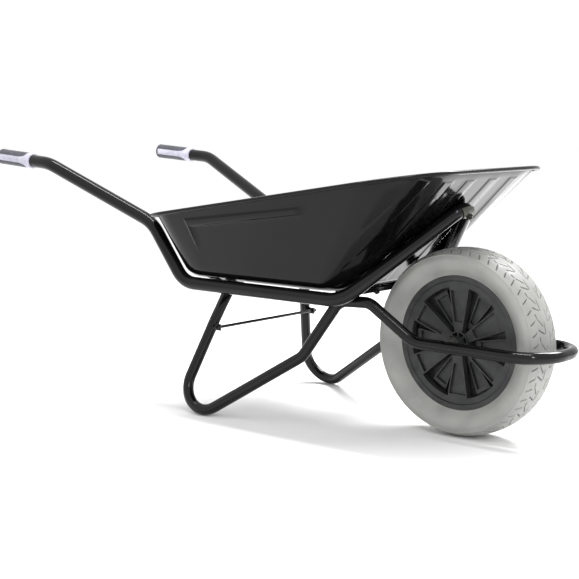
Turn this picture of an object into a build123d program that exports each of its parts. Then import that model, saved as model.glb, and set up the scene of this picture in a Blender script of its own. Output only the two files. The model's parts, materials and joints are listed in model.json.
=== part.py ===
from build123d import *
import math
import os

os.makedirs("parts", exist_ok=True)

# overall layout, mm; +X forward, +Y left, +Z up, ground at Z 0
axle_x = 471.5
axle_z = 200.0

# main frame tube, one side from handle end to nose
main_radius = 15.0
tube_wall = 1.5
upper_bend = (-537.5, 276.0, 556.0)
lower_bend = (-242.5, 220.0, 426.0)
rear_floor_bend = (-142.5, 220.0, 296.0)
front_floor_bend = (272.6, 173.0, 286.0)
nose_corner = (479.0, 0.0, 494.2)
side_radii = [100.0, 100.0, 60.0, 70.0]
nose_bend_radius = 25.0

# leg tubes and wheel guard tube
leg_radius = 12.5
flare_top_y = 125.7
flare_start = (-103.3, 162.0, 205.0)
foot_bend = (-171.0, 259.0, -57.5)
shin_bend = (164.5, 170.0, 154.0)
crest_lead = (245.6, 143.1, 280.5)
crest_point = (278.5, 133.85, 280.5)
guard_lead = (311.4, 124.6, 280.5)
guard_bend = (402.5, 90.0, 201.0)
hoop_corner = (707.0, 91.0, 197.0)
foot_radius = 58.5
shin_radius = 50.0
crest_radius = 35.0
guard_bend_radius = 50.0
hoop_radius = 80.0
flare_half_width = 19.0
flare_half_thickness = 3.5
tab_width = 38.0
tab_inner = 84.0
tab_outer = 133.0
tab_thickness = 6.0

# tray
floor_drop = 10.0
floor_run = 421.0
floor_tilt = math.degrees(math.atan2(floor_drop, floor_run))
floor_at_zero = 303.2
rim_tilt = 8.85
rim_at_zero = 478.5
sheet = 1.5
floor_rear = -160.0
floor_front = 262.0
floor_half_rear = 221.0
floor_half_front = 170.0
mouth_rear = -219.0
mouth_front = 528.0
mouth_half = 276.0
floor_corner = 60.0
mouth_corner_rear = 80.0
mouth_corner_front = 140.0
floor_edge_radius = 30.0
flange_width = 12.0
bead_radius = 4.5

# straps and fixings
strap_width = 34.0
strap_thickness = 3.0
front_strap_thickness = 9.0
front_strap_x = 238.0
front_strap_half = 127.0
rear_strap_x = -78.0
rear_strap_half = 197.0
rear_bolt_y = 99.0
bolt_radius = 4.0
bolt_hole = 4.3
head_radius = 9.0
head_height = 4.0
washer_radius = 10.0
washer_thickness = 1.6
nut_radius = 7.5
nut_height = 6.5
bolt_tail = 3.0

# nose clamp on the apex of the main tube
clamp_sweep = 64.0
clamp_sheet = 2.5
clamp_gap = 0.2
clamp_arc = 150.0
nose_bolt_seat = 18.4

# brace rod between the legs
rod_radius = 3.5
rod_x = -85.6
rod_z = 192.0
rod_half = 181.0
lug_y = 168.0
lug_thickness = 4.0
lug_reach = 26.0
lug_height = 15.0
lug_edge = 7.0
rod_nut_radius = 6.5
rod_nut_height = 5.0

# axle and wheel
axle_radius = 8.0
axle_half = 84.0
spacer_radius = 11.0
spacer_start = 52.8
spacer_end = 77.0
bush_radius = 12.0
bush_clearance = 0.07
bush_flange = 14.5
bush_flange_thickness = 2.0
hub_half = 50.0
hub_inner_radius = 15.0
hub_outer_radius = 25.0
hub_outer_half = 30.0
hub_wall = 3.0
hub_web_count = 8
rim_lip_radius = 143.0
rim_seat_radius = 128.0
rim_ring_inner = 118.0
rim_barrel_inner = 123.0
rim_lip_half = 31.0
rim_seat_half = 26.0
spoke_count = 6
spoke_face = 28.0
spoke_depth = 16.0
spoke_half_hub = 8.0
spoke_half_rim = 25.0
spoke_wall = 3.0
pocket_depth = 6.0
pocket_start = 44.0
pocket_end = 110.0
web_thickness = 2.5
rib_start = 34.0
rib_end = 112.0
rib_height = 13.0
rib_half_hub = 6.0
rib_half_rim = 19.0
rib_wall = 3.0
rib_pocket_start = 46.0
rib_pocket_end = 104.0
rib_pocket_depth = 6.0
tyre_radius = 200.0

# grips
grip_end = (-718.4, 272.0, 568.5)
grip_length = 122.5
grip_core_radius = 17.0
grip_radius = 18.6
grip_bore = 15.05
cap_length = 5.0
collar_length = 18.0
pad_angle = 124.0


# tray bolt stations on the floor: x, y, depth of the stack under the floor
bolt_stations = [
    (front_strap_x, 0.0, -front_strap_thickness),
    (rear_strap_x, -rear_bolt_y, -strap_thickness - tab_thickness),
    (rear_strap_x, rear_bolt_y, -strap_thickness - tab_thickness),
]


def mirrored(points):
    return [(x, -y, z) for x, y, z in reversed(points)]


def save(part, name):
    part.label = name
    export_step(part, f"parts/{name}.step")


def floor_plane(offset=0.0):
    tilt = math.radians(floor_tilt)
    return Plane(
        origin=(0, 0, floor_at_zero),
        x_dir=(math.cos(tilt), 0, -math.sin(tilt)),
        z_dir=(math.sin(tilt), 0, math.cos(tilt)),
    ).offset(offset)


def rim_plane(offset=0.0):
    tilt = math.radians(rim_tilt)
    return Plane(
        origin=(0, 0, rim_at_zero),
        x_dir=(math.cos(tilt), 0, math.sin(tilt)),
        z_dir=(-math.sin(tilt), 0, math.cos(tilt)),
    ).offset(offset)


def nose_plane():
    # at the tube apex, Z pointing out of the front panel, X to the left
    run = Vector(*nose_corner) - Vector(*front_floor_bend)
    half_angle = math.asin(abs(run.Y) / run.length)
    cut = nose_bend_radius * (1 / math.sin(half_angle) - 1)
    back = Vector(-run.X, 0, -run.Z).normalized()
    apex = Vector(*nose_corner) + back * cut
    outward = Vector(-back.Z, 0, back.X).normalized()
    return Plane(origin=apex, x_dir=(0, 1, 0), z_dir=outward)


def tube(points, radii, radius):
    # hollow round tube along a filleted run of points
    with BuildPart() as pipe:
        with BuildLine() as path:
            FilletPolyline(*points, radius=radii)
        with BuildSketch(path.line ^ 0):
            Circle(radius)
            Circle(radius - tube_wall, mode=Mode.SUBTRACT)
        sweep(path=path.line)
    return pipe.part


def round_bar(plane, radius, length):
    with BuildPart() as bar:
        with BuildSketch(plane):
            Circle(radius)
        extrude(amount=length)
    return bar.part


def floor_bar(x, y, low, length, radius):
    # bar square to the tray floor
    plane = floor_plane()
    origin = plane.from_local_coords((x, y, low))
    return round_bar(Plane(origin=origin, z_dir=plane.z_dir), radius, length)


def cross_bar(x, z, start_y, length, radius):
    # bar along Y from start_y
    return round_bar(Plane(origin=(x, start_y, z), z_dir=(0, 1, 0)), radius, length)


def hexagon(plane, radius, height, bore):
    with BuildPart() as nut:
        with BuildSketch(plane):
            RegularPolygon(radius, 6)
            Circle(bore, mode=Mode.SUBTRACT)
        extrude(amount=height)
    return nut.part


# main frame: one bent tube from the right handle round the nose to the left handle
def make_main_frame():
    handle_end = tuple(grip_plane(1, cap_length + 1).origin)
    side = [handle_end, upper_bend, lower_bend, rear_floor_bend, front_floor_bend]
    points = side + [nose_corner] + mirrored(side)
    radii = side_radii + [nose_bend_radius] + side_radii[::-1]
    pipe = tube(points, radii, main_radius)
    hole = round_bar(nose_plane().offset(-30), bolt_hole, 60)
    with BuildPart() as main_frame_tube:
        add(pipe)
        add(hole, mode=Mode.SUBTRACT)
    save(main_frame_tube.part, "main_frame_tube")


# legs: flattened top tab, rear run, foot, shin, up to the crest under the frame
def make_leg(name, side):
    points = [flare_start, foot_bend, shin_bend, crest_lead, crest_point]
    points = [(x, side * y, z) for x, y, z in points]
    pipe = tube(points, [foot_radius, shin_radius, crest_radius], leg_radius)
    start = Vector(*points[0])
    run = start - Vector(*points[1])
    under = floor_plane(-strap_thickness - tab_thickness)
    with BuildPart() as flare:
        with BuildSketch(Plane(origin=start, x_dir=(1, 0, 0), z_dir=run)):
            Circle(leg_radius)
        with BuildSketch(under):
            with Locations((rear_strap_x, side * flare_top_y)):
                Ellipse(flare_half_width, flare_half_thickness)
        loft()
    with BuildPart() as leg_tube:
        add(pipe)
        add(flare.part)
        with BuildSketch(under):
            with Locations((rear_strap_x, side * (tab_inner + tab_outer) / 2)):
                Rectangle(tab_width, tab_outer - tab_inner)
        extrude(amount=tab_thickness)
        with BuildSketch(Plane.XZ.offset(-side * lug_y)):
            with Locations((rod_x - lug_reach / 2 + lug_edge, rod_z)):
                Rectangle(lug_reach, lug_height)
        extrude(amount=lug_thickness / 2, both=True)
    bolt_bore = floor_bar(rear_strap_x, side * rear_bolt_y, -20, 40, bolt_hole)
    rod_bore = cross_bar(rod_x, rod_z, side * lug_y - 15, 30, rod_radius)
    with BuildPart() as finished:
        add(leg_tube.part)
        add(bolt_bore, mode=Mode.SUBTRACT)
        add(rod_bore, mode=Mode.SUBTRACT)
    save(finished.part, name)


def make_guard():
    # wheel guard: one hoop from crest to crest, axle hole through its inner walls
    half = [crest_point, guard_lead, guard_bend, hoop_corner]
    points = half + mirrored(half)
    radii = [crest_radius, guard_bend_radius, hoop_radius, hoop_radius, guard_bend_radius, crest_radius]
    pipe = tube(points, radii, leg_radius)
    bore = cross_bar(axle_x, axle_z, -axle_half, 2 * axle_half, axle_radius)
    with BuildPart() as wheel_guard_tube:
        add(pipe)
        add(bore, mode=Mode.SUBTRACT)
    save(wheel_guard_tube.part, "wheel_guard_tube")


def rounded_outline(rear, front, half_rear, half_front, corner_rear, corner_front):
    FilletPolyline(
        (rear, -half_rear), (front, -half_front), (front, half_front), (rear, half_rear),
        radius=[corner_rear, corner_front, corner_front, corner_rear],
        close=True,
    )


def tub(inset, lift):
    # solid block of the tray shape, inset from the outer skin and lifted off the floor
    with BuildPart() as block:
        with BuildSketch(floor_plane(lift)):
            with BuildLine():
                rounded_outline(
                    floor_rear + inset, floor_front - inset, floor_half_rear - inset, floor_half_front - inset,
                    floor_corner - inset, floor_corner - inset,
                )
            make_face()
        with BuildSketch(rim_plane()):
            with BuildLine():
                rounded_outline(
                    mouth_rear + inset, mouth_front - inset, mouth_half - inset, mouth_half - inset,
                    mouth_corner_rear - inset, mouth_corner_front - inset,
                )
            make_face()
        loft(ruled=True)
        fillet(block.faces().sort_by(Axis.Z)[0].edges(), floor_edge_radius - inset)
    return block.part


def rim_outline(grow):
    rounded_outline(
        mouth_rear - grow, mouth_front + grow, mouth_half + grow, mouth_half + grow,
        mouth_corner_rear + grow, mouth_corner_front + grow,
    )


# tray: pressed shell, rolled rim, bolt holes
def make_tray():
    outer = tub(0.0, 0.0)
    inner = tub(sheet, sheet)
    with BuildPart() as bead:
        with BuildLine(rim_plane()) as run:
            rim_outline(flange_width)
        with BuildSketch(Plane(origin=run.line @ 0, z_dir=run.line % 0)):
            Circle(bead_radius)
        sweep(path=run.line)
    holes = [floor_bar(x, y, -20, 40, bolt_hole) for x, y, low in bolt_stations]
    holes.append(round_bar(nose_plane().offset(-40), bolt_hole, 30))
    with BuildPart() as tray:
        add(outer)
        with BuildSketch(rim_plane()):
            with BuildLine():
                rim_outline(flange_width)
            make_face()
        extrude(amount=-sheet)
        add(inner, mode=Mode.SUBTRACT)
        add(bead.part)
        for hole in holes:
            add(hole, mode=Mode.SUBTRACT)
    save(tray.part, "tray")


def make_strap(name, x, half, thickness, bolts):
    with BuildPart() as strap:
        with BuildSketch(floor_plane()):
            with Locations((x, 0)):
                Rectangle(strap_width, 2 * half)
            with Locations(*[(x, y) for y in bolts]):
                Circle(bolt_hole, mode=Mode.SUBTRACT)
        extrude(amount=-thickness)
    save(strap.part, name)


# three tray bolts with washers above the floor and nuts below
def make_tray_fixings():
    seat = sheet + washer_thickness
    with BuildPart() as tray_bolts:
        for x, y, low in bolt_stations:
            add(floor_bar(x, y, low - nut_height - bolt_tail, seat - low + nut_height + bolt_tail, bolt_radius))
            add(floor_bar(x, y, seat, head_height, head_radius))
    save(tray_bolts.part, "tray_bolts")
    with BuildPart() as tray_washers:
        for x, y, low in bolt_stations:
            add(floor_bar(x, y, sheet, washer_thickness, washer_radius))
        for x, y, low in bolt_stations:
            add(floor_bar(x, y, 0, 20, bolt_radius), mode=Mode.SUBTRACT)
    save(tray_washers.part, "tray_washers")
    with BuildPart() as tray_nuts:
        plane = floor_plane()
        for x, y, low in bolt_stations:
            seat_plane = Plane(origin=plane.from_local_coords((x, y, low - nut_height)), z_dir=plane.z_dir)
            add(hexagon(seat_plane, nut_radius, nut_height, bolt_radius))
    save(tray_nuts.part, "tray_nuts")


# nose clamp: saddle over the tube apex, bolt through saddle, tube and front panel
def make_nose():
    frame = nose_plane()
    inner = main_radius + clamp_gap
    outer = inner + clamp_sheet
    with BuildPart() as nose_clamp:
        with BuildLine(frame) as bend:
            CenterArc((0, -nose_bend_radius), nose_bend_radius, 90 - clamp_sweep / 2, clamp_sweep)
        with BuildSketch(Plane(origin=bend.line @ 0, x_dir=frame.z_dir, z_dir=bend.line % 0)):
            with BuildLine():
                CenterArc((0, 0), inner, -clamp_arc / 2, clamp_arc)
                CenterArc((0, 0), outer, -clamp_arc / 2, clamp_arc)
                for angle in (-clamp_arc / 2, clamp_arc / 2):
                    turn = math.radians(angle)
                    Line(
                        (inner * math.cos(turn), inner * math.sin(turn)),
                        (outer * math.cos(turn), outer * math.sin(turn)),
                    )
            make_face()
        sweep(path=bend.line)
        add(round_bar(frame, bolt_hole, 40), mode=Mode.SUBTRACT)
    save(nose_clamp.part, "nose_clamp")
    head_seat = -nose_bolt_seat
    with BuildPart() as nose_bolt:
        add(round_bar(frame.offset(head_seat), bolt_radius, -head_seat + outer + nut_height + bolt_tail))
        add(round_bar(frame.offset(head_seat - head_height), head_radius, head_height))
    save(nose_bolt.part, "nose_bolt")
    with BuildPart() as nose_nut:
        add(hexagon(frame.offset(outer), nut_radius, nut_height, bolt_radius))
    save(nose_nut.part, "nose_nut")


# brace rod through the leg lugs, a nut outside each lug
def make_brace():
    with BuildPart() as cross_rod:
        add(cross_bar(rod_x, rod_z, -rod_half, 2 * rod_half, rod_radius))
    save(cross_rod.part, "cross_rod")
    face = lug_y + lug_thickness / 2
    with BuildPart() as cross_rod_nuts:
        for side in (-1, 1):
            seat = Plane(origin=(rod_x, side * face, rod_z), x_dir=(0, 0, 1), z_dir=(0, side, 0))
            add(hexagon(seat, rod_nut_radius, rod_nut_height, rod_radius))
    save(cross_rod_nuts.part, "cross_rod_nuts")


def wheel_plane(side, distance=0.0):
    # local Z points outward from the wheel centre on that side, local Y up
    return Plane(origin=(axle_x, side * distance, axle_z), x_dir=(-side, 0, 0), z_dir=(0, side, 0))


def wheel_ring(side, inner, outer, start, length):
    with BuildPart() as ring:
        with BuildSketch(wheel_plane(side, start)):
            Circle(outer)
            Circle(inner, mode=Mode.SUBTRACT)
        extrude(amount=length)
    return ring.part


# axle, fixed between the guard tubes, with a spacer on each side
def make_axle():
    with BuildPart() as axle:
        add(cross_bar(axle_x, axle_z, -axle_half + 0.5, 2 * axle_half - 1.0, axle_radius))
    save(axle.part, "axle")
    for name, side in (("right_axle_spacer", -1), ("left_axle_spacer", 1)):
        with BuildPart() as spacer:
            add(wheel_ring(side, axle_radius, spacer_radius, spacer_start, spacer_end - spacer_start))
        save(spacer.part, name)


def wheel_revolve(points):
    # closed section of (radius, distance along the axle) turned about the axle
    with BuildPart() as turned:
        with BuildSketch(Plane(origin=(axle_x, 0, axle_z), x_dir=(1, 0, 0), z_dir=(0, 0, 1))):
            with BuildLine():
                Polyline(*points, close=True)
            make_face()
        revolve(axis=Axis((axle_x, 0, axle_z), (0, 1, 0)), revolution_arc=360)
    return turned.part


# one moulded half of the wheel: lip, ring, six channel spokes, closed web with lower ribs, webbed hub
def make_rim_half(name, side, turn):
    ring = wheel_revolve([
        (rim_barrel_inner, 0), (rim_seat_radius, 0), (rim_seat_radius, side * rim_seat_half),
        (rim_lip_radius, side * rim_seat_half), (rim_lip_radius, side * rim_lip_half),
        (rim_lip_radius - 11, side * rim_lip_half), (rim_lip_radius - 13, side * (rim_lip_half - 3)),
        (rim_ring_inner, side * (rim_lip_half - 3)), (rim_ring_inner, side * (spoke_face - spoke_depth)),
        (rim_barrel_inner, side * (spoke_face - spoke_depth)),
    ])
    face = wheel_plane(side, spoke_face)
    slope = (spoke_half_rim - spoke_half_hub) / (rim_ring_inner - hub_inner_radius)
    pocket_low = spoke_half_hub + slope * (pocket_start - hub_inner_radius) - spoke_wall
    pocket_high = spoke_half_hub + slope * (pocket_end - hub_inner_radius) - spoke_wall
    rib_slope = (rib_half_rim - rib_half_hub) / (rib_end - rib_start)
    rib_low = rib_half_hub + rib_slope * (rib_pocket_start - rib_start) - rib_wall
    rib_high = rib_half_hub + rib_slope * (rib_pocket_end - rib_start) - rib_wall
    with BuildPart() as half:
        add(ring)
        with BuildSketch(face):
            with PolarLocations(0, spoke_count, start_angle=turn):
                Polygon(
                    (hub_inner_radius, -spoke_half_hub), (rim_ring_inner + 2, -spoke_half_rim),
                    (rim_ring_inner + 2, spoke_half_rim), (hub_inner_radius, spoke_half_hub), align=None,
                )
        extrude(amount=-spoke_depth)
        with BuildSketch(face):
            with PolarLocations(0, spoke_count, start_angle=turn):
                Polygon(
                    (pocket_start, -pocket_low), (pocket_end, -pocket_high),
                    (pocket_end, pocket_high), (pocket_start, pocket_low), align=None,
                )
        extrude(amount=-pocket_depth, mode=Mode.SUBTRACT)
        with BuildSketch(wheel_plane(side)):
            with PolarLocations(0, spoke_count, start_angle=turn + 180 / spoke_count):
                Polygon(
                    (rib_start, -rib_half_hub), (rib_end, -rib_half_rim),
                    (rib_end, rib_half_rim), (rib_start, rib_half_hub), align=None,
                )
        extrude(amount=rib_height)
        with BuildSketch(wheel_plane(side, rib_height)):
            with PolarLocations(0, spoke_count, start_angle=turn + 180 / spoke_count):
                Polygon(
                    (rib_pocket_start, -rib_low), (rib_pocket_end, -rib_high),
                    (rib_pocket_end, rib_high), (rib_pocket_start, rib_low), align=None,
                )
        extrude(amount=-rib_pocket_depth, mode=Mode.SUBTRACT)
        with BuildSketch(wheel_plane(side)):
            Circle(hub_outer_radius)
            Circle(hub_outer_radius - hub_wall, mode=Mode.SUBTRACT)
        extrude(amount=hub_outer_half)
        with BuildSketch(wheel_plane(side)):
            Circle(hub_outer_radius - hub_wall / 2)
        extrude(amount=hub_outer_half, mode=Mode.SUBTRACT)
        with BuildSketch(wheel_plane(side)):
            Circle(hub_outer_radius)
            Circle(hub_outer_radius - hub_wall, mode=Mode.SUBTRACT)
            with PolarLocations(hub_inner_radius + 4, hub_web_count):
                Rectangle(12, hub_wall)
        extrude(amount=hub_outer_half)
        with BuildSketch(wheel_plane(side)):
            Circle(rim_barrel_inner + 1)
        extrude(amount=web_thickness)
        with BuildSketch(wheel_plane(side)):
            Circle(hub_inner_radius)
        extrude(amount=hub_half)
        with BuildSketch(wheel_plane(side)):
            Circle(bush_radius)
        extrude(amount=hub_half, mode=Mode.SUBTRACT)
    save(half.part, name)


def make_bushes():
    with BuildPart() as hub_bushes:
        for side in (-1, 1):
            add(wheel_ring(side, axle_radius + bush_clearance, bush_radius, 1.0, hub_half - 1.0))
            add(wheel_ring(side, axle_radius + bush_clearance, bush_flange, hub_half, bush_flange_thickness))
    save(hub_bushes.part, "hub_bushes")


# solid foam tyre on the rim seat, section given as (radius, distance from the centre)
def make_tyre():
    def at(radius, distance):
        return (axle_x + radius, distance)

    crown = [
        at(rim_lip_radius, rim_lip_half), at(158, 46), at(174, 53.5), at(188, 49), at(197, 31), at(tyre_radius, 0),
        at(197, -31), at(188, -49), at(174, -53.5), at(158, -46), at(rim_lip_radius, -rim_lip_half),
    ]
    with BuildPart() as tyre:
        with BuildSketch(Plane(origin=(0, 0, axle_z))):
            with BuildLine():
                Spline(*crown)
                Polyline(
                    at(rim_lip_radius, -rim_lip_half), at(rim_lip_radius, -rim_seat_half),
                    at(rim_seat_radius, -rim_seat_half), at(rim_seat_radius, rim_seat_half),
                    at(rim_lip_radius, rim_seat_half), at(rim_lip_radius, rim_lip_half),
                )
            make_face()
        revolve(axis=Axis((axle_x, 0, axle_z), (0, 1, 0)), revolution_arc=360)
    save(tyre.part, "tyre")


def grip_plane(side, distance):
    # local Z runs forward along the handle from the grip's rear end
    start = Vector(grip_end[0], side * grip_end[1], grip_end[2])
    bend = Vector(upper_bend[0], side * upper_bend[1], upper_bend[2])
    run = (bend - start).normalized()
    return Plane(origin=start + run * distance, x_dir=(0, 1, 0), z_dir=run)


def grip_ring(side, start, length, inner, outer):
    with BuildPart() as ring:
        with BuildSketch(grip_plane(side, start)):
            Circle(outer)
            Circle(inner, mode=Mode.SUBTRACT)
        extrude(amount=length)
    return ring.part


# handle grips: core sleeve with front collar, two soft pads, end cap
def make_grips(prefix, side):
    pad_length = grip_length - cap_length - collar_length
    with BuildPart() as core:
        add(grip_ring(side, cap_length, grip_length - cap_length, grip_bore, grip_core_radius))
        add(grip_ring(side, grip_length - collar_length, collar_length, grip_bore, grip_radius))
    save(core.part, f"{prefix}_grip_core")
    for pad, middle in (("upper", 90), ("lower", -90)):
        with BuildPart() as grip_pad:
            with BuildSketch(grip_plane(side, cap_length)):
                Circle(grip_radius)
                Circle(grip_core_radius, mode=Mode.SUBTRACT)
                wedge = 2 * grip_radius
                half = math.radians(pad_angle / 2)
                centre = math.radians(middle)
                Polygon(
                    (0, 0),
                    (wedge * math.cos(centre - half), wedge * math.sin(centre - half)),
                    (wedge * 2 * math.cos(centre), wedge * 2 * math.sin(centre)),
                    (wedge * math.cos(centre + half), wedge * math.sin(centre + half)),
                    align=None, mode=Mode.INTERSECT,
                )
            extrude(amount=pad_length)
        save(grip_pad.part, f"{prefix}_grip_{pad}_pad")
    with BuildPart() as cap:
        with BuildSketch(grip_plane(side, 0)):
            Circle(grip_radius)
        extrude(amount=cap_length)
        fillet(cap.faces().sort_by(Axis.X)[0].edges(), 2.5)
    save(cap.part, f"{prefix}_grip_end_cap")


make_main_frame()
make_leg("right_leg_tube", -1)
make_leg("left_leg_tube", 1)
make_guard()
make_tray()
make_strap("front_cross_strap", front_strap_x, front_strap_half, front_strap_thickness, [0.0])
make_strap("rear_cross_strap", rear_strap_x, rear_strap_half, strap_thickness, [-rear_bolt_y, rear_bolt_y])
make_tray_fixings()
make_nose()
make_brace()
make_axle()
make_rim_half("rim_right_half", -1, 90)
make_rim_half("rim_left_half", 1, 60)
make_bushes()
make_tyre()
make_grips("right", -1)
make_grips("left", 1)
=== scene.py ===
import json
import math

import bmesh
import bpy
from mathutils import Matrix, Vector

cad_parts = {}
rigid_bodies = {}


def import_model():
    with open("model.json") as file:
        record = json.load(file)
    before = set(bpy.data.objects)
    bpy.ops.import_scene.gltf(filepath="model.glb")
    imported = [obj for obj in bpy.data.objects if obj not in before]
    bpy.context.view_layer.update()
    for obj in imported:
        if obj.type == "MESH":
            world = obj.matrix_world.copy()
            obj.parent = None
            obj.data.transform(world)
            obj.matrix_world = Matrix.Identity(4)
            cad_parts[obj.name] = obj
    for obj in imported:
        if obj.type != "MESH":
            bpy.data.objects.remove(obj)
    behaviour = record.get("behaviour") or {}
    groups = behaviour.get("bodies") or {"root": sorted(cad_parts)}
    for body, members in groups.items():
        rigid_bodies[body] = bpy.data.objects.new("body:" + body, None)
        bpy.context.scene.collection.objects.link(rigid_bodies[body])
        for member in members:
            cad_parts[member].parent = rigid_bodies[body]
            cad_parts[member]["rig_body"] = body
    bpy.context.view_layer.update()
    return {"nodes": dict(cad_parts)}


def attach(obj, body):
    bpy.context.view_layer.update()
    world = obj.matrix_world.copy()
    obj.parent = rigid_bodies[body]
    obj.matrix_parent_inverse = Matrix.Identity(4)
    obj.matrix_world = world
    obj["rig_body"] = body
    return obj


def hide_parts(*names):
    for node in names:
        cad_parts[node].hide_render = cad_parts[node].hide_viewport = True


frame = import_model()
print("frame loaded")


# materials: a base with broad patches, a grain in relief and uneven gloss
def makeMaterial(name, look):
    material = bpy.data.materials.new(name)
    material.use_nodes = True
    nodes = material.node_tree.nodes
    links = material.node_tree.links
    shader = nodes["Principled BSDF"]
    shader.inputs["Metallic"].default_value = look.get("metallic", 0.0)
    shader.inputs["IOR"].default_value = look.get("ior", 1.5)
    place = nodes.new("ShaderNodeTexCoord")

    def noise(size, detail, stretch=(1, 1, 1)):
        mapping = nodes.new("ShaderNodeMapping")
        mapping.inputs["Scale"].default_value = [s / size for s in stretch]
        links.new(place.outputs["Object"], mapping.inputs["Vector"])
        texture = nodes.new("ShaderNodeTexNoise")
        texture.inputs["Scale"].default_value = 1.0
        texture.inputs["Detail"].default_value = detail
        links.new(mapping.outputs["Vector"], texture.inputs["Vector"])
        return texture.outputs["Fac"]

    def spread(value, low, high, start=0.35, stop=0.65):
        remap = nodes.new("ShaderNodeMapRange")
        remap.inputs["From Min"].default_value = start
        remap.inputs["From Max"].default_value = stop
        remap.inputs["To Min"].default_value = low
        remap.inputs["To Max"].default_value = high
        links.new(value, remap.inputs["Value"])
        return remap.outputs["Result"]

    patches = noise(look["patchSize"], 4.0)
    blend = nodes.new("ShaderNodeMix")
    blend.data_type = "RGBA"
    blend.inputs["A"].default_value = (*look["dark"], 1)
    blend.inputs["B"].default_value = (*look["light"], 1)
    links.new(spread(patches, 0, 1), blend.inputs["Factor"])
    colour = blend.outputs["Result"]

    specks = noise(look["speckSize"], 2.0)
    dust = nodes.new("ShaderNodeMix")
    dust.data_type = "RGBA"
    dust.inputs["B"].default_value = (*look["dust"], 1)
    links.new(colour, dust.inputs["A"])
    links.new(spread(specks, 0, look["dustAmount"], 0.58, 0.75), dust.inputs["Factor"])
    links.new(dust.outputs["Result"], shader.inputs["Base Color"])

    smears = noise(look["smearSize"], 3.0, look.get("smearStretch", (1, 1, 1)))
    links.new(spread(smears, look["smooth"], look["rough"]), shader.inputs["Roughness"])

    grain = noise(look["grainSize"], look.get("grainDetail", 2.0))
    bump = nodes.new("ShaderNodeBump")
    bump.inputs["Strength"].default_value = 1.0
    bump.inputs["Distance"].default_value = look["grainHeight"]
    links.new(grain, bump.inputs["Height"])
    links.new(bump.outputs["Normal"], shader.inputs["Normal"])
    return material


finishes = {
    "framePaint": {
        "dark": (0.0022, 0.0022, 0.0024), "light": (0.0045, 0.0045, 0.005), "patchSize": 0.09,
        "dust": (0.05, 0.05, 0.05), "dustAmount": 0.06, "speckSize": 0.0016,
        "smooth": 0.09, "rough": 0.15, "smearSize": 0.03,
        "grainSize": 0.004, "grainHeight": 0.00003, "ior": 1.34,
    },
    "trayPaint": {
        "dark": (0.0018, 0.0018, 0.002), "light": (0.0036, 0.0036, 0.004), "patchSize": 0.16,
        "dust": (0.05, 0.05, 0.05), "dustAmount": 0.04, "speckSize": 0.0018,
        "smooth": 0.08, "rough": 0.16, "smearSize": 0.07,
        "grainSize": 0.006, "grainHeight": 0.00003, "ior": 1.3,
    },
    "zinc": {
        "dark": (0.34, 0.34, 0.33), "light": (0.52, 0.52, 0.5), "patchSize": 0.006,
        "dust": (0.2, 0.19, 0.17), "dustAmount": 0.4, "speckSize": 0.0012,
        "smooth": 0.28, "rough": 0.5, "smearSize": 0.004,
        "grainSize": 0.0011, "grainHeight": 0.00006, "metallic": 1.0,
    },
    "blackSteel": {
        "dark": (0.012, 0.012, 0.012), "light": (0.03, 0.029, 0.028), "patchSize": 0.006,
        "dust": (0.1, 0.09, 0.08), "dustAmount": 0.25, "speckSize": 0.001,
        "smooth": 0.3, "rough": 0.5, "smearSize": 0.005,
        "grainSize": 0.0011, "grainHeight": 0.00006, "metallic": 0.4,
    },
    "olivePlate": {
        "dark": (0.035, 0.036, 0.028), "light": (0.075, 0.076, 0.06), "patchSize": 0.009,
        "dust": (0.16, 0.15, 0.12), "dustAmount": 0.5, "speckSize": 0.0015,
        "smooth": 0.3, "rough": 0.55, "smearSize": 0.006,
        "grainSize": 0.0014, "grainHeight": 0.00012, "metallic": 0.35,
    },
    "rimPlastic": {
        "dark": (0.012, 0.0125, 0.0125), "light": (0.022, 0.023, 0.023), "patchSize": 0.03,
        "dust": (0.08, 0.08, 0.078), "dustAmount": 0.35, "speckSize": 0.0014,
        "smooth": 0.38, "rough": 0.55, "smearSize": 0.02,
        "grainSize": 0.0009, "grainHeight": 0.00008,
    },
    "hubPlastic": {
        "dark": (0.02, 0.02, 0.02), "light": (0.04, 0.04, 0.04), "patchSize": 0.01,
        "dust": (0.09, 0.09, 0.09), "dustAmount": 0.3, "speckSize": 0.001,
        "smooth": 0.35, "rough": 0.5, "smearSize": 0.008,
        "grainSize": 0.0009, "grainHeight": 0.00006,
    },
    "tyreFoam": {
        "dark": (0.255, 0.255, 0.243), "light": (0.31, 0.31, 0.296), "patchSize": 0.05,
        "dust": (0.22, 0.21, 0.2), "dustAmount": 0.25, "speckSize": 0.002,
        "smooth": 0.42, "rough": 0.62, "smearSize": 0.025,
        "grainSize": 0.0012, "grainHeight": 0.00012, "grainDetail": 4.0,
    },
    "gripLight": {
        "dark": (0.42, 0.41, 0.5), "light": (0.54, 0.53, 0.62), "patchSize": 0.02,
        "dust": (0.25, 0.24, 0.28), "dustAmount": 0.25, "speckSize": 0.001,
        "smooth": 0.25, "rough": 0.4, "smearSize": 0.01,
        "grainSize": 0.0007, "grainHeight": 0.00004,
    },
    "gripDark": {
        "dark": (0.035, 0.036, 0.048), "light": (0.06, 0.061, 0.078), "patchSize": 0.012,
        "dust": (0.16, 0.16, 0.18), "dustAmount": 0.35, "speckSize": 0.0009,
        "smooth": 0.42, "rough": 0.6, "smearSize": 0.01,
        "grainSize": 0.0014, "grainHeight": 0.00022, "grainDetail": 1.0,
    },
}
materials = {name: makeMaterial(name, look) for name, look in finishes.items()}
print("materials made")


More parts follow.
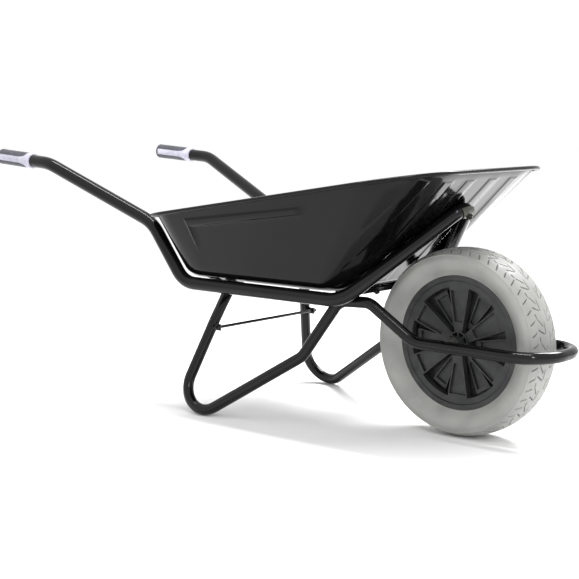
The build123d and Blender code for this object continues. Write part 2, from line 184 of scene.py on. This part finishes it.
# a finished mesh becomes a piece that stands for its CAD nodes
def addPiece(name, bm, finish, body, nodes, sharpAngle=40.0):
    bmesh.ops.recalc_face_normals(bm, faces=bm.faces)
    for face in bm.faces:
        face.smooth = True
    for edge in bm.edges:
        edge.smooth = edge.calc_face_angle(0) < math.radians(sharpAngle)
    mesh = bpy.data.meshes.new(name)
    bm.to_mesh(mesh)
    bm.free()
    piece = bpy.data.objects.new(name, mesh)
    bpy.context.scene.collection.objects.link(piece)
    piece.data.materials.append(materials[finish])
    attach(piece, body)
    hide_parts(*nodes)
    return piece


# softened copies of the small solid parts, with their edges broken
softParts = {
    "front_cross_strap": {"finish": "framePaint", "slot": "frame_black", "edge": 0.0007},
    "rear_cross_strap": {"finish": "framePaint", "slot": "frame_black", "edge": 0.0007},
    "tray_nuts": {"finish": "blackSteel", "slot": "zinc_steel", "edge": 0.0006},
    "tray_bolts": {"finish": "blackSteel", "slot": "zinc_steel", "edge": 0.0008},
    "tray_washers": {"finish": "zinc", "slot": "zinc_steel", "edge": 0.0003},
    "nose_clamp": {"finish": "olivePlate", "slot": "clamp_steel", "edge": 0.0006},
    "nose_bolt": {"finish": "blackSteel", "slot": "zinc_steel", "edge": 0.0008},
    "nose_nut": {"finish": "blackSteel", "slot": "zinc_steel", "edge": 0.0006},
    "cross_rod_nuts": {"finish": "blackSteel", "slot": "zinc_steel", "edge": 0.0006},
    "axle": {"finish": "zinc", "slot": "zinc_steel", "edge": 0.0008},
    "right_axle_spacer": {"finish": "zinc", "slot": "zinc_steel", "edge": 0.0005},
    "left_axle_spacer": {"finish": "zinc", "slot": "zinc_steel", "edge": 0.0005},
    "hub_bushes": {"finish": "hubPlastic", "slot": "hub_plastic", "edge": 0.0004},
    "rim_right_half": {"finish": "rimPlastic", "slot": "rim_plastic", "edge": 0.0012},
    "rim_left_half": {"finish": "rimPlastic", "slot": "rim_plastic", "edge": 0.0012},
}


def softenPart(node, look):
    source = frame["nodes"][node]
    bm = bmesh.new()
    bm.from_mesh(source.data)
    bmesh.ops.remove_doubles(bm, verts=bm.verts, dist=0.00001)
    bmesh.ops.dissolve_limit(bm, angle_limit=math.radians(0.5), verts=bm.verts, edges=bm.edges)
    piece = addPiece(node + "_soft", bm, look["finish"], source["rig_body"], [node], 30.0)
    bevel = piece.modifiers.new("edges", "BEVEL")
    bevel.width = look["edge"]
    bevel.segments = 2
    bevel.limit_method = "ANGLE"
    bevel.angle_limit = math.radians(30)
    bevel.harden_normals = True


for node, look in softParts.items():
    softenPart(node, look)
print("small parts softened")


# tubes and the brace rod stay as they are, with their own finish
plainParts = {
    "main_frame_tube": ("framePaint", "frame_black"),
    "right_leg_tube": ("framePaint", "frame_black"),
    "left_leg_tube": ("framePaint", "frame_black"),
    "wheel_guard_tube": ("framePaint", "frame_black"),
    "cross_rod": ("framePaint", "frame_black"),
    "right_grip_end_cap": ("gripDark", "grip_dark"),
    "left_grip_end_cap": ("gripDark", "grip_dark"),
}
for node, (finish, slotName) in plainParts.items():
    part = frame["nodes"][node]
    part.data.materials.clear()
    part.data.materials.append(materials[finish])
print("tubes finished")


# tray: sheet pressed with ribs at the front and a stepped bar on each side, rim rolled over
tray = {
    "floorTilt": -1.3607, "floorHeight": 0.3032, "rimTilt": 8.85, "rimHeight": 0.4785,
    "sheet": 0.0015, "skin": 0.0014,
    "floorRear": -0.160, "floorFront": 0.262, "floorHalfRear": 0.221, "floorHalfFront": 0.170,
    "mouthRear": -0.219, "mouthFront": 0.528, "mouthHalf": 0.276,
    "floorCorner": 0.060, "mouthCornerRear": 0.080, "mouthCornerFront": 0.140,
    "cornerSteps": 16, "edgeBend": 0.024, "edgeSteps": 7,
    "flange": 0.012, "bead": 0.0045, "beadSteps": 11,
    "ribs": (-0.200, -0.124, -0.043, 0.043, 0.124, 0.200), "ribWidth": 0.034, "ribDepth": 0.0013,
    "ribTop": 0.022, "ribBottom": 0.026,
    "barHeight": 0.4579, "barSlope": 0.1254, "barLow": 0.4387, "barLowSlope": 0.134,
    "barFront": 0.232, "barRear": (-0.095, 0.446), "barTip": (-0.0764, 0.366), "barInner": (-0.080, 0.428),
    "barDepth": 0.003, "ramp": (-0.001, 0.0005, 0.002, 0.0035, 0.005),
    "mouthSteps": ((-0.0005, -0.0008), (0.0015, 0.0), (0.006, 0.0)), "wallDrop": 0.003,
    "frontSlope": 45, "frontStart": 0.26, "ribReach": 0.03, "frontEdge": 0.019, "ribFade": 0.002,
    "sideBox": ((-0.13, 0.34), (0.27, 0.51)), "sideReach": 0.18,
}


def tiltedPlane(tilt, height, lift=0.0):
    turn = math.radians(tilt)
    tilted = Matrix.Translation((0, 0, height)) @ Matrix.Rotation(-turn, 4, "Y")
    return tilted @ Matrix.Translation((0, 0, lift))


def roundedLoop(bm, rear, front, halfRear, halfFront, cornerRear, cornerFront, matrix):
    old = set(bm.edges)
    corners = [(rear, -halfRear), (front, -halfFront), (front, halfFront), (rear, halfRear)]
    verts = [bm.verts.new((x, y, 0)) for x, y in corners]
    face = bm.faces.new(verts)
    for pair, radius in (((verts[0], verts[3]), cornerRear), ((verts[1], verts[2]), cornerFront)):
        bmesh.ops.bevel(
            bm, geom=list(pair), offset=radius, offset_type="OFFSET", segments=tray["cornerSteps"],
            profile=0.5, affect="VERTICES", clamp_overlap=False,
        )
    loop = [edge for edge in bm.edges if edge not in old]
    faces = {face for edge in loop for face in edge.link_faces}
    bmesh.ops.delete(bm, geom=list(faces), context="FACES_ONLY")
    bmesh.ops.transform(bm, matrix=matrix, verts=list({v for edge in loop for v in edge.verts}))
    return loop


def mouthLoop(bm, grow, lift):
    return roundedLoop(
        bm, tray["mouthRear"] - grow, tray["mouthFront"] + grow,
        tray["mouthHalf"] + grow, tray["mouthHalf"] + grow,
        tray["mouthCornerRear"] + grow, tray["mouthCornerFront"] + grow,
        tiltedPlane(tray["rimTilt"], tray["rimHeight"], lift),
    )


def floorLoop(bm, inset):
    return roundedLoop(
        bm, tray["floorRear"] + inset, tray["floorFront"] - inset,
        tray["floorHalfRear"] - inset, tray["floorHalfFront"] - inset,
        tray["floorCorner"] - inset, tray["floorCorner"] - inset,
        tiltedPlane(tray["floorTilt"], tray["floorHeight"], tray["sheet"]),
    )


# cuts the faces that a test picks, at each offset along the plane's normal
def cutFaces(bm, pick, point, normal, offsets):
    normal = Vector(normal).normalized()
    for offset in offsets:
        faces = [face for face in bm.faces if pick(face)]
        verts = list({v for f in faces for v in f.verts})
        geometry = verts + list({e for f in faces for e in f.edges}) + faces
        bmesh.ops.bisect_plane(
            bm, geom=geometry, dist=0.000001, plane_co=Vector(point) + normal * offset, plane_no=normal,
        )


def smoothStep(value):
    value = min(max(value, 0.0), 1.0)
    return value * value * (3 - 2 * value)


def pressDepth(distance):
    first, last = tray["ramp"][0], tray["ramp"][-1]
    return smoothStep((distance - first) / (last - first))


# signed distance inside the line from a to b, in the X-Z plane, positive on its left
def sideOf(point, a, b):
    run = (Vector(b) - Vector(a)).normalized()
    away = Vector(point) - Vector(a)
    return run.x * away.y - run.y * away.x


def makeTray():
    bm = bmesh.new()
    sheet = tray["sheet"]
    floor = floorLoop(bm, sheet)
    wallTop = mouthLoop(bm, -sheet, -tray["wallDrop"])
    loops = [wallTop] + [mouthLoop(bm, grow, lift) for grow, lift in tray["mouthSteps"]]
    for step in range(tray["beadSteps"]):
        turn = math.radians(150 - 30 * step)
        grow = tray["flange"] + tray["bead"] * math.cos(turn)
        loops.append(mouthLoop(bm, grow, tray["bead"] * math.sin(turn)))
    bmesh.ops.bridge_loops(bm, edges=floor + wallTop)
    for near, far in zip(loops, loops[1:]):
        bmesh.ops.bridge_loops(bm, edges=near + far)
    bmesh.ops.contextual_create(bm, geom=floor)
    bmesh.ops.bevel(
        bm, geom=floor, offset=tray["edgeBend"], offset_type="OFFSET", segments=tray["edgeSteps"],
        profile=0.5, affect="EDGES", clamp_overlap=False, material=-1,
    )
    topVerts = {v for edge in wallTop for v in edge.verts}
    wall = [
        e for v in topVerts for e in v.link_edges
        if e.calc_length() > 0.05 and e.other_vert(v) not in topVerts
    ]
    bmesh.ops.subdivide_edges(bm, edges=wall, cuts=9, use_grid_fill=True)
    long = [e for e in bm.edges if e.calc_length() > 0.1]
    bmesh.ops.subdivide_edges(bm, edges=long, cuts=13, use_grid_fill=True)

    # ribs on the front panel
    slope = math.radians(tray["frontSlope"])
    up = Vector((math.sin(slope), 0, math.sin(slope)))
    mouthEdge = tiltedPlane(tray["rimTilt"], tray["rimHeight"]) @ Vector((tray["mouthFront"], 0, 0))
    floorEdge = tiltedPlane(tray["floorTilt"], tray["floorHeight"]) @ Vector((tray["floorFront"], 0, 0))
    frontTop = mouthEdge - up * tray["ribTop"]
    frontBottom = floorEdge + up * tray["ribBottom"]
    bm.normal_update()

    def onFront(face):
        centre = face.calc_center_median()
        inFront = abs(face.normal.x) > 0.45 and centre.x > tray["frontStart"]
        return inFront and (centre - frontTop).dot(up) < tray["frontEdge"]

    half = tray["ribWidth"] / 2
    for rib in tray["ribs"]:
        for side in (-1, 1):
            cutFaces(
                bm,
                lambda face, y=rib + side * half: (
                    onFront(face) and abs(face.calc_center_median().y - y) < tray["ribReach"]
                ),
                (0, rib + side * half, 0), (0, -side, 0), tray["ramp"],
            )
    cutFaces(bm, onFront, frontTop, -up, tray["ramp"])
    cutFaces(bm, onFront, frontTop - up * 0.008, -up, (0.0,))
    cutFaces(bm, onFront, frontBottom, up, tray["ramp"])
    bm.normal_update()
    outward = {v: v.normal.copy() for v in bm.verts}
    foremost = max(bm.verts, key=lambda v: v.co.x if abs(v.co.z - 0.45) < 0.02 else -1)
    facing = 1 if outward[foremost].x > 0 else -1
    for v in bm.verts:
        if v.co.x < 0.27 or abs(v.normal.x) < 0.35:
            continue
        along = min((frontTop - v.co).dot(up), (v.co - frontBottom).dot(up))
        if along < -tray["ribFade"]:
            continue
        nearest = min(tray["ribs"], key=lambda rib: abs(rib - v.co.y))
        across = half - abs(v.co.y - nearest)
        inside = min(across, along)
        v.co += outward[v] * facing * tray["ribDepth"] * pressDepth(inside)

    # stepped bar on each side panel
    boxLow, boxHigh = tray["sideBox"]
    for side in (-1, 1):
        def onSide(face, side=side):
            centre = face.calc_center_median()
            return (
                centre.y * side > tray["sideReach"] and abs(face.normal.y) > 0.8
                and boxLow[0] < centre.x < boxHigh[0] and boxLow[1] < centre.z < boxHigh[1]
            )

        top = (0, 0, tray["barHeight"])
        low = (0, 0, tray["barLow"])
        rear = (tray["barRear"][0], 0, tray["barRear"][1])
        inner = (tray["barInner"][0], 0, tray["barInner"][1])
        tip = Vector((tray["barTip"][0], 0, tray["barTip"][1]))
        outerRun = (tip - Vector(rear)).normalized()
        innerRun = (tip - Vector(inner)).normalized()
        cutFaces(bm, onSide, top, (tray["barSlope"], 0, -1), tray["ramp"])
        cutFaces(bm, onSide, low, (-tray["barLowSlope"], 0, 1), tray["ramp"])
        cutFaces(bm, onSide, (tray["barFront"], 0, 0), (-1, 0, 0), tray["ramp"])
        cutFaces(bm, onSide, rear, (-outerRun.z, 0, outerRun.x), tray["ramp"])
        cutFaces(bm, onSide, inner, (innerRun.z, 0, -innerRun.x), tray["ramp"])
    bm.normal_update()
    outward = {v: v.normal.copy() for v in bm.verts}
    for v in bm.verts:
        x, y, z = v.co
        if abs(y) < 0.18 or abs(outward[v].y) < 0.75 or not -0.14 < x < 0.28 or z < 0.34:
            continue
        slope = math.hypot(1, tray["barSlope"])
        fromTop = (tray["barHeight"] + tray["barSlope"] * x - z) / slope
        fromLow = (z - tray["barLow"] - tray["barLowSlope"] * x) / slope
        fromRear = sideOf((x, z), tray["barRear"], tray["barTip"])
        fromInner = -sideOf((x, z), tray["barInner"], tray["barTip"])
        bar = min(fromTop, fromLow, tray["barFront"] - x, fromRear)
        leg = min(fromTop, fromRear, fromInner, z - tray["barTip"][1])
        sign = 1 if outward[v].y * y > 0 else -1
        v.co += outward[v] * sign * tray["barDepth"] * pressDepth(max(bar, leg))

    piece = addPiece("tray_pressed", bm, "trayPaint", "frame", ["tray"], 50.0)
    solid = piece.modifiers.new("sheet", "SOLIDIFY")
    solid.thickness = tray["skin"]
    solid.offset = -1.0


makeTray()
print("tray made")


# tyre: turned section with thin angled grooves cut into the tread
tyre = {
    "axleX": 0.4715, "axleZ": 0.2,
    "seat": ((0.143, 0.026), (0.128, 0.026), (0.128, -0.026), (0.143, -0.026)),
    "crown": (
        (0.143, -0.031), (0.158, -0.046), (0.174, -0.0532), (0.186, -0.0502), (0.1885, -0.0485),
        (0.1965, -0.031), (0.1997, 0.0), (0.1965, 0.031), (0.1885, 0.0485), (0.186, 0.0502),
        (0.174, 0.0532), (0.158, 0.046), (0.143, 0.031),
    ),
    "crownSteps": 5, "pitches": 26, "pitchSteps": 6, "pitchLength": 0.0475,
    "strokes": (
        ((-0.010, -0.028), (0.002, -0.026)), ((0.002, -0.026), (0.018, -0.013)),
        ((0.008, -0.0072), (0.034, -0.0076)), ((0.0234, -0.029), (0.0347, -0.0105)),
        ((0.004, -0.031), (0.013, -0.0455)), ((0.0285, -0.0325), (0.0375, -0.0455)),
    ),
    "grooveWidth": 0.0036, "grooveDepth": 0.0042,
}


# points of a smooth curve through the given ones
def smoothCurve(points, steps):
    points = [Vector(p) for p in points]
    padded = [2 * points[0] - points[1], *points, 2 * points[-1] - points[-2]]
    curve = []
    for a, b, c, d in zip(padded, padded[1:], padded[2:], padded[3:]):
        for step in range(steps):
            t = step / steps
            square = (2 * a - 5 * b + 4 * c - d) * t * t
            cube = (3 * b - a - 3 * c + d) * t ** 3
            curve.append(0.5 * (2 * b + (c - a) * t + square + cube))
    curve.append(points[-1])
    return curve


def spinSection(bm, section, axlePoint, steps):
    verts = [bm.verts.new((tyre["axleX"], y, tyre["axleZ"] + radius)) for radius, y in section]
    edges = [bm.edges.new(pair) for pair in zip(verts, verts[1:] + verts[:1])]
    bmesh.ops.spin(
        bm, geom=verts + edges, cent=axlePoint, axis=(0, 1, 0), angle=2 * math.pi,
        steps=steps, use_merge=True,
    )


def makeTyre():
    bm = bmesh.new()
    axlePoint = Vector((tyre["axleX"], 0, tyre["axleZ"]))
    crown = smoothCurve(tyre["crown"], tyre["crownSteps"])
    section = [tuple(p) for p in crown] + list(tyre["seat"])
    spinSection(bm, section, axlePoint, tyre["pitches"] * tyre["pitchSteps"])
    bmesh.ops.remove_doubles(bm, verts=bm.verts, dist=0.00001)
    pitch = 2 * math.pi / tyre["pitches"]
    tread = [p for p in crown if p[0] > 0.17]

    def onTread(along, across):
        turn = along / tyre["pitchLength"] * pitch
        for low, high in zip(tread, tread[1:]):
            if low[1] <= across <= high[1]:
                share = (across - low[1]) / (high[1] - low[1])
                radius = low[0] + (high[0] - low[0]) * share
                lean = Vector((high[1] - low[1], low[0] - high[0])).normalized()
                point = axlePoint + Vector((radius * math.sin(turn), across, radius * math.cos(turn)))
                return point, Vector((lean.x * math.sin(turn), lean.y, lean.x * math.cos(turn)))

    def cutGroove(faces, start, end):
        first, firstNormal = onTread(*start)
        last, lastNormal = onTread(*end)
        normal = (firstNormal + lastNormal).normalized()
        run = last - first
        middle = (first + last) / 2
        reach = run.length / 2 + 0.006
        near, rest = [], []
        for face in faces:
            (near if (face.calc_center_median() - middle).length < reach else rest).append(face)
        sideways = run.cross(normal).normalized()
        half = tyre["grooveWidth"] / 2
        planes = [(first, run), (last, run)]
        planes += [(middle + sideways * offset, sideways) for offset in (-half, 0.0, half)]
        geometry = near + list({e for f in near for e in f.edges}) + list({v for f in near for v in f.verts})
        for point, direction in planes:
            cut = bmesh.ops.bisect_plane(
                bm, geom=geometry, dist=0.000001, plane_co=point, plane_no=direction.normalized(),
            )
            geometry = cut["geom"]
        for v in geometry:
            if isinstance(v, bmesh.types.BMVert):
                away = v.co - first
                share = away.dot(run) / run.length_squared
                if abs(away.dot(sideways)) < 0.00001 and 0.001 < share < 0.999:
                    v.co -= normal * tyre["grooveDepth"]
        return rest + [f for f in geometry if isinstance(f, bmesh.types.BMFace)]

    for index in range(tyre["pitches"]):
        for side in (-1, 1):
            shift = (index + (0 if side < 0 else 0.5)) * tyre["pitchLength"]
            centre, normal = onTread(shift + 0.014, side * 0.024)
            faces = [f for f in bm.faces if (f.calc_center_median() - centre).length < 0.045]
            for (s0, y0), (s1, y1) in tyre["strokes"]:
                faces = cutGroove(faces, (s0 + shift, -side * y0), (s1 + shift, -side * y1))
    addPiece("tyre_treaded", bm, "tyreFoam", "wheel", ["tyre"], 38.0)


makeTyre()
print("tyre made")


# grips: light core with a collar, dark soft pads tapering towards the front
grip = {
    "rear": (-0.7184, 0.272, 0.5685), "bend": (-0.5375, 0.276, 0.5560),
    "length": 0.1225, "cap": 0.005, "coreRadius": 0.0171, "collarRadius": 0.0186, "bore": 0.01505,
    "collar": 0.018, "padRadius": 0.0186, "padHalf": 62.0, "padTaper": 0.032, "padTip": 12.0,
    "padSteps": (30, 18), "turnSteps": 64,
}


def gripMatrix(side):
    start = Vector((grip["rear"][0], side * grip["rear"][1], grip["rear"][2]))
    run = Vector((grip["bend"][0], side * grip["bend"][1], grip["bend"][2])) - start
    forward = run.normalized()
    left = Vector((0, 0, 1)).cross(forward).normalized()
    up = forward.cross(left)
    turn = Matrix((forward, left, up)).transposed().to_4x4()
    return Matrix.Translation(start) @ turn


def makeGrip(prefix, side):
    matrix = gripMatrix(side)
    front = grip["length"]
    bm = bmesh.new()
    section = [
        (grip["cap"], grip["bore"]), (grip["cap"], grip["coreRadius"]),
        (front - grip["collar"] - 0.004, grip["coreRadius"]),
        (front - grip["collar"], grip["collarRadius"] - 0.0004),
        (front - grip["collar"] + 0.003, grip["collarRadius"]), (front - 0.0015, grip["collarRadius"]),
        (front - 0.0004, grip["collarRadius"] - 0.0004),
        (front, grip["collarRadius"] - 0.0015), (front, grip["bore"]),
    ]
    verts = [bm.verts.new((x, 0, radius)) for x, radius in section]
    edges = [bm.edges.new(pair) for pair in zip(verts, verts[1:] + verts[:1])]
    bmesh.ops.spin(
        bm, geom=verts + edges, cent=(0, 0, 0), axis=(1, 0, 0), angle=2 * math.pi,
        steps=grip["turnSteps"], use_merge=True,
    )
    bmesh.ops.remove_doubles(bm, verts=bm.verts, dist=0.00001)
    bmesh.ops.transform(bm, matrix=matrix, verts=bm.verts)
    addPiece(f"{prefix}_grip_sleeve", bm, "gripLight", "frame", [f"{prefix}_grip_core"], 30.0)
    padStart = grip["cap"] + 0.0004
    padEnd = front - grip["collar"] + 0.004
    for place, middle in (("upper", 0.0), ("lower", 180.0)):
        bm = bmesh.new()
        lengthSteps, widthSteps = grip["padSteps"]
        bmesh.ops.create_grid(bm, x_segments=lengthSteps, y_segments=widthSteps, size=0.5)
        for v in bm.verts:
            x = padStart + (v.co.x + 0.5) * (padEnd - padStart)
            left = (padEnd - x) / grip["padTaper"]
            share = math.sqrt(max(0.0, 1 - (1 - min(left, 1.0)) ** 2))
            half = grip["padTip"] + (grip["padHalf"] - grip["padTip"]) * share
            turn = math.radians(middle + v.co.y * 2 * half)
            crest = grip["padRadius"] - 0.0002
            v.co = Vector((x, crest * math.sin(turn), crest * math.cos(turn)))
        bmesh.ops.transform(bm, matrix=matrix, verts=bm.verts)
        pad = addPiece(
            f"{prefix}_grip_{place}_cushion", bm, "gripDark", "frame",
            [f"{prefix}_grip_{place}_pad"],
        )
        outside = matrix.to_3x3() @ Vector((0, 0, 1 if place == "upper" else -1))
        if pad.data.polygons[0].normal.dot(outside) < 0:
            pad.data.flip_normals()
        solid = pad.modifiers.new("thickness", "SOLIDIFY")
        solid.thickness = 0.0016
        solid.offset = -1.0
        bevel = pad.modifiers.new("edges", "BEVEL")
        bevel.width = 0.0006
        bevel.segments = 2
        bevel.limit_method = "ANGLE"
        bevel.angle_limit = math.radians(50)


makeGrip("right", -1)
makeGrip("left", 1)
print("grips made")


# floor and light
studio = {
    "floorSize": 60.0, "floorDark": (0.86, 0.86, 0.86), "floorLight": (0.89, 0.89, 0.89),
    "skyStrength": 1.14,
    "lights": (
        {"name": "overhead", "at": (0.0, -0.3, 2.4), "aim": (0.0, 0.0, 0.3),
         "size": (2.2, 0.16), "power": 45, "spread": 180},
        {"name": "behind", "at": (0.3, 1.7, 2.0), "aim": (0.3, 1.1, 0.0),
         "size": (1.4, 0.7), "power": 38, "spread": 90},
        {"name": "cameraSide", "at": (3.4, -2.6, 2.6), "aim": (0.3, 0.0, 0.25),
         "size": (0.25, 1.4), "power": 40, "spread": 180},
    ),
}


def makeStudio():
    floorMaterial = bpy.data.materials.new("paleFloor")
    floorMaterial.use_nodes = True
    nodes = floorMaterial.node_tree.nodes
    links = floorMaterial.node_tree.links
    place = nodes.new("ShaderNodeTexCoord")
    texture = nodes.new("ShaderNodeTexNoise")
    texture.inputs["Scale"].default_value = 1.5
    links.new(place.outputs["Object"], texture.inputs["Vector"])
    blend = nodes.new("ShaderNodeMix")
    blend.data_type = "RGBA"
    blend.inputs["A"].default_value = (*studio["floorDark"], 1)
    blend.inputs["B"].default_value = (*studio["floorLight"], 1)
    links.new(texture.outputs["Fac"], blend.inputs["Factor"])
    links.new(blend.outputs["Result"], nodes["Principled BSDF"].inputs["Base Color"])
    nodes["Principled BSDF"].inputs["Roughness"].default_value = 0.9
    bm = bmesh.new()
    bmesh.ops.create_grid(bm, x_segments=4, y_segments=4, size=studio["floorSize"] / 2)
    bmesh.ops.translate(bm, verts=bm.verts, vec=(0, 0, -0.0005))
    mesh = bpy.data.meshes.new("floor")
    bm.to_mesh(mesh)
    bm.free()
    floor = bpy.data.objects.new("floor", mesh)
    bpy.context.scene.collection.objects.link(floor)
    floor.data.materials.append(floorMaterial)
    world = bpy.data.worlds.new("studio")
    world.use_nodes = True
    world.node_tree.nodes["Background"].inputs["Color"].default_value = (1, 1, 1, 1)
    world.node_tree.nodes["Background"].inputs["Strength"].default_value = studio["skyStrength"]
    bpy.context.scene.world = world
    for lamp in studio["lights"]:
        light = bpy.data.lights.new(lamp["name"], "AREA")
        light.shape = "RECTANGLE"
        light.size, light.size_y = lamp["size"]
        light.energy = lamp["power"]
        light.spread = math.radians(lamp["spread"])
        holder = bpy.data.objects.new(lamp["name"], light)
        holder.location = lamp["at"]
        aim = Vector(lamp["aim"]) - Vector(lamp["at"])
        holder.rotation_euler = aim.to_track_quat("-Z", "Y").to_euler()
        bpy.context.scene.collection.objects.link(holder)
    bpy.context.scene.view_settings.view_transform = "Standard"


makeStudio()
print("studio made")


camera = {"at": (2.02197, -2.40186, 0.69070), "elevation": 7.65, "azimuth": 40.31, "lens": 84.66}


def makeCamera():
    data = bpy.data.cameras.new("camera")
    data.lens = camera["lens"]
    data.sensor_width = 36.0
    data.clip_end = 200.0
    holder = bpy.data.objects.new("camera", data)
    holder.location = camera["at"]
    holder.rotation_euler = (math.radians(90 - camera["elevation"]), 0, math.radians(camera["azimuth"]))
    bpy.context.scene.collection.objects.link(holder)
    bpy.context.scene.camera = holder


makeCamera()
print("camera made")
